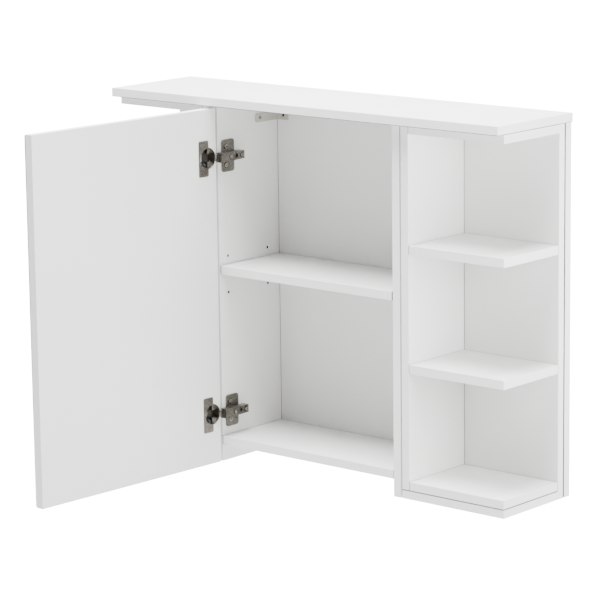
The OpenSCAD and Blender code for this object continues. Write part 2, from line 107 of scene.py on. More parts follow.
CUP_R = 17.45 * MM
CUP_DEPTH = 12 * MM
CUP_SHEET = 0.7 * MM
CUP_RIM = 0.95 * MM
RIM_TOP = 1.0 * MM
FLANGE_TOP = 0.75 * MM
INSERT_GAP = 1.0 * MM
LINK_SHEET = 1.6 * MM
PIN_R = 1.2 * MM
PIN_PLAY = 0.06 * MM
FITTING_EDGE = 0.5 * MM

# Near-black colour of the painted shade round hinge screws and on the arm's slot
SCREW_SHADE = (0.012, 0.011, 0.010)
# Colour of the thin line of painted shade drawn where two boards meet
JOINT_SHADE = (0.03, 0.029, 0.027)
# Raw chipboard inside the holes, darkened far below its own colour with painted shade
SHADED_CHIPBOARD = ((0.018, 0.014, 0.010), (0.06, 0.046, 0.032))
FACE_SKIN, EDGE_SKIN = 0.1 * MM, 0.75 * MM

STAGE_MIDDLE = np.array((0, -0.3, -0.27))
OPEN_END = np.array((0.32, -0.12, -0.3))
SIDE_LIGHT = np.array((1.0, -0.35, -0.05))
END_LIGHT = np.array((1.25, 0.25, -0.2))
CAMERA_PLACE = (3.1300, -3.8256, 0.6854)
CAMERA_ANGLES = (40.75, 11.39, -0.73)


def box(node):
    """Lowest and highest corner of a packed node as numpy arrays, in metres."""
    low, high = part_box(node)
    return np.array(low), np.array(high)


# ---------------------------------------------------------------- settings
def colour_setting(name, description, default):
    """A colour, each channel from 0 to 1."""
    return bpy.props.FloatVectorProperty(name=name, description=description, subtype="COLOR",
                                         size=3, min=0, max=1, default=default)


def length_setting(name, description, low, high, default):
    """A length in metres."""
    return bpy.props.FloatProperty(name=name, description=description, subtype="DISTANCE",
                                   unit="LENGTH", min=low, max=high, default=default, precision=5)


def power_setting(name, description, default):
    """The power of a light in watts."""
    return bpy.props.FloatProperty(name=name, description=description, subtype="POWER", min=0,
                                   max=1000, default=default)


class BoardSettings(bpy.types.PropertyGroup):
    """Coating and edges of the boards"""
    coat: colour_setting("Coat", "Colour of the melamine coat", (0.80, 0.80, 0.785))
    band: colour_setting("Edge band", "Colour of the glued edge bands", (0.83, 0.83, 0.82))
    edge_radius: length_setting(
        "Edge radius", "Rounding of the board edges", 0.0001, 0.002, 0.0006)
    # Half width of the line of painted shade where two boards meet
    seam: length_setting(
        "Seam", "Half the width of the dark line where two boards meet", 0.0001, 0.001, 0.0008)
    roughness: bpy.props.FloatProperty(
        name="Roughness", description="How matt the coat is", min=0, max=1, default=0.42)


class MirrorSettings(bpy.types.PropertyGroup):
    """Glass of the mirror"""
    tint: colour_setting("Silver", "Colour of the silvered glass", (0.90, 0.93, 0.93))
    rim: colour_setting("Rim", "Colour of the ground glass rim", (0.62, 0.70, 0.68))
    rim_radius: length_setting(
        "Rim radius", "Rounding of the ground rim", 0.0002, 0.0017, 0.0009)


class HingeSettings(bpy.types.PropertyGroup):
    """Metal of the hinges and screws"""
    nickel: colour_setting("Nickel", "Colour of the plated pressings", (0.185, 0.173, 0.152))
    bright: colour_setting("Bright steel", "Colour of pins and screws", (0.34, 0.33, 0.305))
    black: colour_setting("Black plastic", "Colour of the damper", (0.012, 0.012, 0.013))
    fold_radius: length_setting(
        "Fold radius", "Inner radius of the folded link", 0.0005, 0.003, 0.0012)


class StudioSettings(bpy.types.PropertyGroup):
    """Floor, lights and camera"""
    sky: bpy.props.FloatProperty(
        name="Sky", description="Strength of the even light all round", min=0, max=5, default=0.30)
    backdrop: bpy.props.FloatProperty(
        name="Backdrop", description="Brightness of the white paper behind and below", min=0,
        max=50, default=18)
    overhead: power_setting("Overhead", "Power of the large light above", 550)
    end: power_setting("Right end", "Power of the small light beside the right end", 21)
    side: power_setting("Side", "Power of the small light into the open right unit", 9.7)
    front: power_setting("Front left", "Power of the light in front on the left", 42)
    lens: bpy.props.FloatProperty(
        name="Lens", description="Focal length", min=20, max=400, default=174.78)
    drop: length_setting("Floor drop", "How far the floor lies below the cabinet", 0, 3, 0.9)


# ---------------------------------------------------------------- materials
class Paint:
    """A node material being put together: shader, object coordinates and short helpers."""

    def __init__(self, name, **sockets):
        self.material = bpy.data.materials.new(name)
        self.material.use_nodes = True
        self.tree = self.material.node_tree
        self.shader = self.tree.nodes["Principled BSDF"]
        self.place = self.tree.nodes.new("ShaderNodeTexCoord")
        for socket, value in sockets.items():
            self.shader.inputs[socket.replace("_", " ")].default_value = value

    def node(self, kind, **settings):
        made = self.tree.nodes.new(kind)
        for key, value in settings.items():
            if hasattr(made, key) and key not in made.inputs:
                setattr(made, key, value)
            else:
                made.inputs[key].default_value = value
        return made

    def link(self, source, target):
        self.tree.links.new(source, target)

    def noise(self, scale, detail=3.0, rough=0.5, stretch=(1, 1, 1), seed=0.0):
        """Noise on object coordinates; scale counts cells in a metre, stretch packs an axis."""
        shift = self.node("ShaderNodeMapping")
        shift.inputs["Location"].default_value = (seed, seed * 1.7, seed * 0.6)
        shift.inputs["Scale"].default_value = stretch
        made = self.node("ShaderNodeTexNoise", Scale=scale, Detail=detail, Roughness=rough)
        self.link(self.place.outputs["Object"], shift.inputs["Vector"])
        self.link(shift.outputs["Vector"], made.inputs["Vector"])
        return made.outputs["Fac"]

    def ramp(self, value, low, high, start=0.35, end=0.65):
        """Runs from colour low to colour high while the value goes from start to end."""
        made = self.node("ShaderNodeValToRGB")
        made.color_ramp.elements[0].position = start
        made.color_ramp.elements[1].position = end
        made.color_ramp.elements[0].color = (*low, 1)
        made.color_ramp.elements[1].color = (*high, 1)
        self.link(value, made.inputs["Fac"])
        return made.outputs["Color"]

    def span(self, value, low, high, start=0.3, end=0.7):
        """The value carried from start..end to low..high."""
        made = self.node("ShaderNodeMapRange")
        for key, number in zip(("From Min", "From Max", "To Min", "To Max"), (start, end, low, high)):
            made.inputs[key].default_value = number
        self.link(value, made.inputs["Value"])
        return made.outputs["Result"]

    def mix(self, factor, a, b):
        """Colour a where the factor is 0 and b where it is 1."""
        made = self.node("ShaderNodeMix", data_type="RGBA")
        self.link(factor, made.inputs[0])
        for socket, colour in ((made.inputs[6], a), (made.inputs[7], b)):
            if isinstance(colour, bpy.types.NodeSocket):
                self.link(colour, socket)
            else:
                socket.default_value = (*colour, 1)
        return made.outputs[2]

    def bump(self, height, depth, strength=1.0, under=None):
        """Raises the surface by height times depth, in metres."""
        made = self.node("ShaderNodeBump", Strength=strength, Distance=depth)
        self.link(height, made.inputs["Height"])
        if under is not None:
            self.link(under, made.inputs["Normal"])
        return made.outputs["Normal"]

    def edge_mask(self, axis):
        """1 on the narrow edges of a board and 0 on its two broad faces across axis."""
        split = self.node("ShaderNodeSeparateXYZ")
        self.link(self.place.outputs["Normal"], split.inputs["Vector"])
        size = self.node("ShaderNodeMath", operation="ABSOLUTE")
        self.link(split.outputs["XYZ".index(axis)], size.inputs[0])
        return self.span(size.outputs[0], 1.0, 0.0, 0.45, 0.75)

    def far_from(self, middle, keep=(1, 1, 1)):
        """Absolute distance from a point on each axis, with the axes not kept set to nought."""
        offset = self.node("ShaderNodeVectorMath", operation="SUBTRACT")
        self.link(self.place.outputs["Object"], offset.inputs[0])
        offset.inputs[1].default_value = middle
        kept = self.node("ShaderNodeVectorMath", operation="MULTIPLY")
        self.link(offset.outputs[0], kept.inputs[0])
        kept.inputs[1].default_value = keep
        size = self.node("ShaderNodeVectorMath", operation="ABSOLUTE")
        self.link(kept.outputs[0], size.inputs[0])
        return size.outputs[0]

    def core_mask(self, low, high, skin):
        """1 inside a board's box, deeper than skin under its faces on each axis: in its holes."""
        past = self.node("ShaderNodeVectorMath", operation="SUBTRACT")
        self.link(self.far_from((low + high) / 2), past.inputs[0])
        past.inputs[1].default_value = (high - low) / 2 - np.array(skin)
        split = self.node("ShaderNodeSeparateXYZ")
        self.link(past.outputs[0], split.inputs["Vector"])
        outermost = self.join("MAXIMUM", self.join("MAXIMUM", *split.outputs[:2]), split.outputs[2])
        return self.span(outermost, 1.0, 0.0, -0.2 * MM, 0.0)

    def line_mask(self, axis, place, half):
        """1 within half of a plane across an axis, fading out over the next third of it."""
        keep = tuple(float(letter == axis) for letter in "XYZ")
        length = self.node("ShaderNodeVectorMath", operation="LENGTH")
        self.link(self.far_from(tuple(place * k for k in keep), keep), length.inputs[0])
        return self.span(length.outputs["Value"], 1.0, 0.0, half, half * 4 / 3)

    def spot_mask(self, middle, radius):
        """1 within a radius of an axis that runs through a point along X."""
        length = self.node("ShaderNodeVectorMath", operation="LENGTH")
        self.link(self.far_from(middle, (0, 1, 1)), length.inputs[0])
        return self.span(length.outputs["Value"], 1.0, 0.0, radius - 0.2 * MM, radius + 0.2 * MM)

    def join(self, operation, a, b):
        """Two values joined by a Math operation."""
        made = self.node("ShaderNodeMath", operation=operation)
        self.link(a, made.inputs[0])
        self.link(b, made.inputs[1])
        return made.outputs[0]


def shade(colour, factor):
    """The colour made lighter or darker, kept within 1."""
    return tuple(min(1.0, channel * factor) for channel in colour)


def melamine(name, axis, settings, core=None, shade_lines=()):
    """White melamine: a soft pearl grain on the faces, smoother and lighter edge bands.

    core is the board's box, and shows raw chipboard darkened with painted shade where a hole goes
    under the coat. The planes after core, each an axis and a place, are where the board meets
    another one; a thin line of painted shade is drawn along each. A plane along the broad faces
    marks only the edges.
    """
    paint = Paint(name, Specular_IOR_Level=0.42, Coat_Roughness=0.35)
    coat, band = tuple(settings.coat), tuple(settings.band)
    cloud = paint.ramp(paint.noise(5, 2, seed=3.1), shade(coat, 0.985), shade(coat, 1.01))
    speck = paint.span(paint.noise(1400, 2, 0.6, seed=7.7), 0.0, 0.5, 0.5, 0.8)
    face = paint.mix(speck, cloud, shade(coat, 0.97))
    edge = paint.ramp(paint.noise(220, 3, stretch=(0.2, 0.2, 0.2)), shade(band, 0.985), band)
    mask = paint.edge_mask(axis)
    colour = paint.mix(mask, face, edge)
    # Holes show raw chipboard, darkened with painted shade
    if core is not None:
        shaded_chipboard = paint.ramp(paint.noise(900, 3), *SHADED_CHIPBOARD)
        skin = [FACE_SKIN if letter == axis else EDGE_SKIN for letter in "XYZ"]
        colour = paint.mix(paint.core_mask(*core, skin), colour, shaded_chipboard)
    # A thin line of painted shade where this board meets another one
    for shade_axis, place in shade_lines:
        joint_shade_mask = paint.line_mask(shade_axis, place, settings.seam)
        if shade_axis == axis:
            joint_shade_mask = paint.join("MULTIPLY", joint_shade_mask, mask)
        colour = paint.mix(joint_shade_mask, colour, JOINT_SHADE)
    paint.link(colour, paint.shader.inputs["Base Color"])
    rough = paint.node("ShaderNodeMix", data_type="FLOAT")
    paint.link(mask, rough.inputs[0])
    paint.link(paint.span(paint.noise(26, 3), settings.roughness - 0.04, settings.roughness + 0.05),
               rough.inputs[2])
    paint.link(paint.span(paint.noise(60, 2), settings.roughness - 0.10, settings.roughness - 0.05),
               rough.inputs[3])
    paint.link(rough.outputs[0], paint.shader.inputs["Roughness"])
    pearl = paint.bump(paint.noise(900, 2, 0.55), 0.00003, 0.5)
    paint.link(paint.bump(paint.noise(14, 2), 0.0001, 0.15, pearl), paint.shader.inputs["Normal"])
    return paint.material


def plated_steel(name, colour, rough, streak=(1, 1, 1), wear=0.9, painted_shade_spots=()):
    """Plated pressed steel: cloudy reflections, fine drawing streaks and duller patches.

    The last argument lists seats round screws and slots, each a point on its axis and a
    radius; shade is painted on each in near-black.
    """
    paint = Paint(name, Metallic=1.0)
    tone = paint.ramp(paint.noise(420, 4, 0.65, seed=1.3), shade(colour, wear),
                      shade(colour, 2.12 - wear))
    lines = paint.noise(2600, 2, 0.5, stretch=streak, seed=5.2)
    shown = paint.mix(paint.span(lines, 0, 0.6), tone, shade(colour, wear))
    # Painted shade round each screw seat and slot
    for middle, radius in painted_shade_spots:
        shown = paint.mix(paint.spot_mask(middle, radius), shown, SCREW_SHADE)
    paint.link(shown, paint.shader.inputs["Base Color"])
    paint.link(paint.span(paint.noise(420, 3, seed=2.4), rough - 0.05, rough + 0.09),
               paint.shader.inputs["Roughness"])
    paint.link(paint.bump(lines, 0.00002, 0.35), paint.shader.inputs["Normal"])
    return paint.material


def nickel_plate(name, settings, painted_shade_spots=()):
    """The worn nickel of the hinges, with its streaks along Y."""
    return plated_steel(name, tuple(settings.nickel), 0.32, (1, 0.1, 1), 0.62, painted_shade_spots)


def black_plastic(name, colour):
    """Moulded black plastic with a fine spark grain."""
    paint = Paint(name, Specular_IOR_Level=0.4)
    paint.link(paint.ramp(paint.noise(300, 2), colour, shade(colour, 1.8)),
               paint.shader.inputs["Base Color"])
    paint.link(paint.span(paint.noise(900, 2), 0.42, 0.6), paint.shader.inputs["Roughness"])
    paint.link(paint.bump(paint.noise(3200, 2), 0.00003, 0.4), paint.shader.inputs["Normal"])
    return paint.material


def powder_coat(name, colour):
    """Warm white powder paint with its soft orange-peel surface."""
    paint = Paint(name, Specular_IOR_Level=0.5)
    paint.link(paint.ramp(paint.noise(120, 3), shade(colour, 0.96), colour),
               paint.shader.inputs["Base Color"])
    paint.link(paint.span(paint.noise(500, 2), 0.34, 0.46), paint.shader.inputs["Roughness"])
    paint.link(paint.bump(paint.noise(1300, 2, 0.4), 0.00005, 0.5), paint.shader.inputs["Normal"])
    return paint.material


def beech(name):
    """Plain beech: long grain with short darker flecks."""
    paint = Paint(name, Specular_IOR_Level=0.3)
    grain = paint.noise(900, 4, 0.6, stretch=(1, 1, 0.06))
    paint.link(paint.ramp(grain, (0.44, 0.27, 0.13), (0.62, 0.42, 0.24)),
               paint.shader.inputs["Base Color"])
    paint.link(paint.span(grain, 0.5, 0.7), paint.shader.inputs["Roughness"])
    paint.link(paint.bump(grain, 0.00006, 0.4), paint.shader.inputs["Normal"])
    return paint.material


def silvered_glass(name, tint):
    """The silvered front of the mirror: a clear reflection, hardly uneven."""
    paint = Paint(name, Metallic=1.0)
    paint.link(paint.ramp(paint.noise(3, 1), shade(tint, 0.99), tint),
               paint.shader.inputs["Base Color"])
    paint.link(paint.span(paint.noise(40, 2), 0.015, 0.03), paint.shader.inputs["Roughness"])
    paint.link(paint.bump(paint.noise(2.2, 1), 0.00002, 0.1), paint.shader.inputs["Normal"])
    return paint.material


def ground_glass(name, colour):
    """The ground and polished rim of the glass, greenish and a little milky."""
    paint = Paint(name, Specular_IOR_Level=0.6, IOR=1.52)
    paint.link(paint.ramp(paint.noise(180, 3), shade(colour, 0.92), shade(colour, 1.05)),
               paint.shader.inputs["Base Color"])
    paint.link(paint.span(paint.noise(700, 2), 0.12, 0.24), paint.shader.inputs["Roughness"])
    return paint.material


def safety_film(name):
    """The grey film that holds the glass, with a faint woven print of its backing."""
    paint = Paint(name, Specular_IOR_Level=0.3)
    paint.link(paint.ramp(paint.noise(500, 3), (0.20, 0.205, 0.21), (0.27, 0.275, 0.28)),
               paint.shader.inputs["Base Color"])
    paint.link(paint.span(paint.noise(90, 2), 0.5, 0.62), paint.shader.inputs["Roughness"])
    return paint.material


PAINTS = {}


def paint_for(slot):
    """The finished material of a record slot, made once."""
    scene = bpy.context.scene
    hinge, glass = scene.hinge_settings, scene.mirror_settings
    makers = {
        "hinge_steel": lambda: nickel_plate("nickel plate", hinge),
        # Near-black steel for painted shade in the cups and the screw recesses
        "shaded_steel": lambda: plated_steel("greased steel", (0.022, 0.021, 0.02), 0.36),
        "bright_steel": lambda: plated_steel("bright steel", tuple(hinge.bright), 0.24),
        "zinc_screw": lambda: plated_steel("zinc plate", (0.60, 0.60, 0.57), 0.38),
        "black_plastic": lambda: black_plastic("damper plastic", tuple(hinge.black)),
        "white_bracket": lambda: powder_coat("powder coat", (0.46, 0.445, 0.40)),
        "beech": lambda: beech("beech"),
        "mirror": lambda: silvered_glass("silvered glass", tuple(glass.tint)),
        "rim": lambda: ground_glass("ground glass rim", tuple(glass.rim)),
        "backing_film": lambda: safety_film("safety film"),
    }
    if slot not in PAINTS:
        PAINTS[slot] = makers[slot]()
    return PAINTS[slot]


def wear_material(item, *materials):
    """Puts these materials on an object in place of what it had."""
    item.data.materials.clear()
    for material in materials:
        item.data.materials.append(material)


# ---------------------------------------------------------------- mesh helpers
def stand(name, data):
    """A new object of this data in the scene, at the origin."""
    item = bpy.data.objects.new(name, data)
    bpy.context.scene.collection.objects.link(item)
    return item


def grid_faces(rows, columns, wrap=True, first=0):
    """Quads between the points of a rows by columns grid; wrap joins the last column to the first."""
    steps = columns if wrap else columns - 1
    row = np.arange(rows - 1)[:, None] * columns
    here = np.arange(steps)[None, :]
    after = (here + 1) % columns
    quads = np.stack([row + here, row + after, row + columns + after, row + columns + here], -1)
    return quads.reshape(-1, 4) + first


class Surface:
    """Collects closed surfaces as arrays and makes them one mesh object."""

    def __init__(self):
        self.points, self.faces, self.marks, self.count = [], [], [], 0

    def add(self, points, faces, mark=0):
        self.points.append(points)
        self.faces += [tuple(int(i) + self.count for i in face) for face in faces]
        self.marks += [mark] * len(faces)
        self.count += len(points)

    def tube(self, rings, mark=0, turn=False):
        """A stack of closed rings (rows, columns, 3) with a flat face over each open end."""
        rows, columns = rings.shape[:2]
        quads = grid_faces(rows, columns)
        ends = [np.arange(columns)[::-1], np.arange(columns) + (rows - 1) * columns]
        faces = [*quads.tolist(), *[end.tolist() for end in ends]]
        if turn:
            faces = [face[::-1] for face in faces]
        self.add(rings.reshape(-1, 3), faces, mark)

    def make(self, name, slot, body, stands_for=(), sharp=40, place=None, second=None):
        """Makes the mesh, smooths it, paints faces marked 1 with second and hands it over."""
        points = np.concatenate(self.points)
        if place is not None:
            points = place(points)
        mesh = bpy.data.meshes.new(name)
        mesh.from_pydata(points.tolist(), [], self.faces)
        mesh.polygons.foreach_set("material_index", np.array(self.marks, np.int32))
        mesh.polygons.foreach_set("use_smooth", np.ones(len(self.faces), bool))
        mesh.set_sharp_from_angle(angle=math.radians(sharp))
        mesh.update()
        item = stand(name, mesh)
        wear_material(item, *[paint_for(finish) for finish in (slot, second) if finish])
        if stands_for:
            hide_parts(*stands_for)
        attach(item, body)
        return item


def about_pivot(points, angle):
    """Points, a row each, turned by an angle about the door's pivot, which runs along Z."""
    cos, sin = math.cos(angle), math.sin(angle)
    x, y = points[:, 0] - PIVOT[0], points[:, 1] - PIVOT[1]
    return np.stack([PIVOT[0] + cos * x - sin * y, PIVOT[1] + sin * x + cos * y, points[:, 2]], 1)


def from_door(points):
    """Turns points laid out on the closed door into the rest pose."""
    return about_pivot(points, -DOOR_OPEN)


def frame_of(direction):
    """Two unit vectors across a direction, so that the three form a right-handed frame."""
    along = np.array(direction, float)
    along /= np.linalg.norm(along)
    side = np.cross(along, (0, 0, 1) if abs(along[2]) < 0.9 else (1, 0, 0))
    side /= np.linalg.norm(side)
    return side, np.cross(along, side), along


def fade(value, end, width):
    """1 while the value is at least width short of end, falling evenly to 0 at end."""
    return np.clip((end - value) / width, 0, 1)


def screw_surface(surface, head, direction, kind, turn, around=40):
    """A screw with a cross recess, turned about its axis.

    Its height over the axis is h(r, a) = dome(r) - recess(r, a): the dome is a shallow
    paraboloid, and the recess is a cross of two slots that taper towards their floor. Below the
    head the radius follows the cone or the cheese of the head and then the shank to its tip.
    The recess is marked 1, for painted shade.
    """
    head_r, head_h, shank_r, length = (size * MM for size in SCREWS[kind])
    pan = kind in PAN_HEADS
    angle = np.linspace(0, 2 * math.pi, around, endpoint=False)
    radii = np.concatenate([np.linspace(0.06, 0.62, 9), [0.72, 0.84, 0.93, 0.985, 1.0]])
    r, a = np.meshgrid(radii, angle, indexing="ij")
    dome = (0.16 if pan else 0.05) * head_r * (1 - r ** 2)
    across = np.minimum(np.abs(np.sin(a - turn)), np.abs(np.cos(a - turn))) * r
    inside = np.maximum(fade(across, 0.17, 0.07) * fade(r, 0.60, 0.10), fade(r, 0.24, 0.08))
    height = dome - inside * head_r * 0.42
    top = head_h if pan else 0.0
    rings = [(r * head_r, height + top)]
    shank = shank_r / head_r
    if pan:
        lower = [(1.0, top - 0.35 * head_h), (0.99, 0.0), (shank, 0.0)]
    else:
        lower = [(1.0, -0.06 * head_h), (shank, -head_h)]
    lower += [(shank, -(length - 2.5 * shank_r)), (0.15 * shank, -length)]
    for factor, level in lower:
        rings.append((np.full((1, around), factor * head_r), np.full((1, around), level)))
    radius = np.concatenate([ring[0] for ring in rings])
    level = np.concatenate([ring[1] for ring in rings])
    angles = np.broadcast_to(angle, radius.shape)
    side, up, along = frame_of(direction)
    points = (np.array(head) + radius[..., None] * (np.cos(angles)[..., None] * side
              + np.sin(angles)[..., None] * up) + level[..., None] * along)
    first = len(surface.marks)
    surface.tube(points, turn=True)
    # The recess and the cap in the middle of the head are marked for painted shade
    marks = (inside[:-1] > 0.5).astype(int).ravel().tolist()
    surface.marks[first:first + len(marks)] = marks
    surface.marks[-2] = 1


def head_radius(kind):
    """Radius of a screw's head, in metres."""
    return SCREWS[kind][0] * MM


def screw_set(name, slot, node, screws, body="cabinet", place=None):
    """Makes the screws of one node, each with its seat, direction, kind and turn."""
    surface = Surface()
    for screw in screws:
        screw_surface(surface, *screw)
    # The marked recess faces get the near-black steel of painted shade
    surface.make(name, slot, body, [node], 35, place, "shaded_steel")


def rounded_outline(half_w, half_h, corner, steps=8):
    """Points round a rectangle with quarter circles for corners, anticlockwise."""
    turn = np.linspace(0, math.pi / 2, steps)
    parts = []
    for quarter, (sx, sy) in enumerate(((1, 1), (-1, 1), (-1, -1), (1, -1))):
        a = turn + quarter * math.pi / 2
        parts.append(np.stack([sx * (half_w - corner) + corner * np.cos(a),
                               sy * (half_h - corner) + corner * np.sin(a)], 1))
    return np.concatenate(parts)


def inset(outline, amount):
    """A closed outline moved inwards along its own normals by amount."""
    along = np.roll(outline, -1, 0) - np.roll(outline, 1, 0)
    along /= np.linalg.norm(along, axis=1)[:, None] + 1e-12
    return outline + amount * np.stack([-along[:, 1], along[:, 0]], 1)


# ---------------------------------------------------------------- boards
class CABINET_OT_coat_boards(bpy.types.Operator):
    """Rounds the edges of the boards and gives them their melamine coat and edge bands"""
    bl_idname = "cabinet.coat_boards"
    bl_label = "Coat the boards"

    def execute(self, context):
        settings = context.scene.board_settings
        shade_lines = joint_shade_lines()
        for axis, names in (("X", UPRIGHT_X), ("Y", UPRIGHT_Y), ("Z", LEVEL)):
            for name in names:
                round_edges(NODES[name], settings.edge_radius)
                wear_material(NODES[name], melamine(f"melamine {name}", axis, settings, box(name),
                                                    shade_lines.get(name, ())))
        coat = melamine("melamine door", "X", settings)
        round_edges(NODES["door_board"], settings.edge_radius)
        wear_material(NODES["door_board"], coat)
        return {"FINISHED"}


def joint_shade_lines():
    """Planes of painted shade where each board meets its neighbours, as lists of axis and place."""
    under_top, rear_front = box("top_panel")[0][2], box("rear_stile_right")[0][1]
    shade_lines = {"top_panel": [("Z", under_top)]}
    for side, inner in (("left", 1), ("right", 0)):
        wall = ("X", box(f"{side}_upper_shelf")[inner][0])
        base_top = ("Z", box(f"{side}_base_plate")[1][2])
        shade_lines[f"{side}_top_board"] = [("Z", under_top), wall]
        shade_lines[f"rear_stile_{side}"] = [("Y", rear_front)]
        shade_lines[f"{side}_back_panel"] = [("Y", rear_front), wall]
        shade_lines[f"{side}_side_wall"] = shade_lines[f"{side}_base_plate"] = [base_top]
        for shelf in ("upper_shelf", "lower_shelf", "bottom_board"):
            shade_lines[f"{side}_{shelf}"] = [wall, ("Y", box(f"{side}_{shelf}")[1][1])]
        shade_lines[f"{side}_bottom_board"].append(base_top)
    for name in ("adjustable_shelf", "cabinet_floor"):
        low, high = box(name)
        shade_lines[name] = [("X", low[0]), ("X", high[0]), ("Y", high[1])]
    low, high = box("cabinet_back")
    shade_lines["cabinet_back"] = [("X", low[0]), ("X", high[0])]
    return shade_lines


def round_edges(item, radius):
    """Joins a packed node's triangles and rounds its sharp edges, all with modifiers."""
    weld = item.modifiers.new("join", "WELD")
    weld.merge_threshold = 0.001 * MM
    flat = item.modifiers.new("flatten", "DECIMATE")
    flat.decimate_type = "DISSOLVE"
    flat.angle_limit = math.radians(0.5)
    bevel = item.modifiers.new("round", "BEVEL")
    bevel.width = radius
    bevel.segments = 3
    bevel.limit_method = "ANGLE"
    bevel.angle_limit = math.radians(35)
    bevel.harden_normals = True
    bevel.use_clamp_overlap = True


# ---------------------------------------------------------------- mirror
class CABINET_OT_make_mirror(bpy.types.Operator):
    """Makes the silvered glass with its ground rim and paints the film behind it"""
    bl_idname = "cabinet.make_mirror"
    bl_label = "Make the mirror"

    def execute(self, context):
        settings = context.scene.mirror_settings
        low, high = closed_box("mirror_glass")
        middle, half = (low + high) / 2, (high - low) / 2
        radius = min(settings.rim_radius, half[1] * 0.9)
        outline = rounded_outline(half[0], half[2], 0.0012, 6)
        turn = np.linspace(0, math.pi / 2, 5)
        steps = [(radius * (1 - math.sin(a)), -half[1] + radius * (1 - math.cos(a))) for a in turn]
        steps += [(step[0], -step[1]) for step in steps[::-1]]
        rings = []
        for inwards, depth in steps:
            ring = inset(outline, inwards)
            rings.append(np.stack([middle[0] + ring[:, 0], np.full(len(ring), middle[1] + depth),
                                   middle[2] + ring[:, 1]], 1))
        surface = Surface()
        surface.tube(np.array(rings))
        surface.marks[:-2] = [1] * (len(surface.marks) - 2)
        surface.make("mirror_pane", "mirror", "door", ["mirror_glass"], 60, from_door, "rim")
        wear_material(NODES["mirror_film"], paint_for("backing_film"))
        return {"FINISHED"}


def closed_box(node):
    """Lowest and highest corner of a door node as it lies on the closed door."""
    mesh = NODES[node].data
    flat = np.zeros(len(mesh.vertices) * 3, np.float32)
    mesh.vertices.foreach_get("co", flat)
    closed = about_pivot(flat.reshape(-1, 3).astype(float), DOOR_OPEN)
    return closed.min(0), closed.max(0)


# ---------------------------------------------------------------- hinges
class CABINET_OT_make_hinges(bpy.types.Operator):
    """Presses the hinge cups, folds the links and finishes the arms, plates and dampers"""
    bl_idname = "cabinet.make_hinges"
    bl_label = "Make the hinges"

    def execute(self, context):
        settings = context.scene.hinge_settings
        for which in HINGES:
            press_cup(which)
            mould_damper(which)
            fold_link(which, settings.fold_radius)
            # Each arm and plate gets painted shade round its screws
            for part, shade_spots in arm_shade_spots(which).items():
                item = NODES[f"{which}_{part}"]
                round_edges(item, FITTING_EDGE)
                wear_material(item, nickel_plate(f"{which} {part} nickel", settings, shade_spots))
            for part in ("pivot_pin", "hinge_spring"):
                wear_material(NODES[f"{which}_{part}"], paint_for("bright_steel"))
        return {"FINISHED"}


def cup_facts(which):
    """Centre of a cup's mouth on the closed door, and its outer radius, both in metres."""
    low, high = closed_box(f"{which}_hinge_cup")
    face = closed_box("door_board")[1][1]
    return np.array([low[0] + CUP_RIM + CUP_R, face, (low[2] + high[2]) / 2]), CUP_R


def arm_shade_spots(which):
    """Painted shade round the screws of an arm and its plate, and on the arm's slot between them."""
    low, high = box(f"{which}_arm_screws")
    middle = (low + high) / 2
    arm = [((0, low[1] + head_radius("adjust"), middle[2]), SCREW_SHADE_R["adjust"]),
           ((0, high[1] - head_radius("clamp"), middle[2]), SCREW_SHADE_R["clamp"]),
           ((0, middle[1], middle[2]), SCREW_SHADE_R["slot"])]
    low, high = box(f"{which}_plate_screws")
    y, edge = (low[1] + high[1]) / 2, head_radius("plate")
    plate = [((0, y, z), SCREW_SHADE_R["plate"]) for z in (low[2] + edge, high[2] - edge)]
    return {"hinge_arm": arm, "mounting_plate": plate}


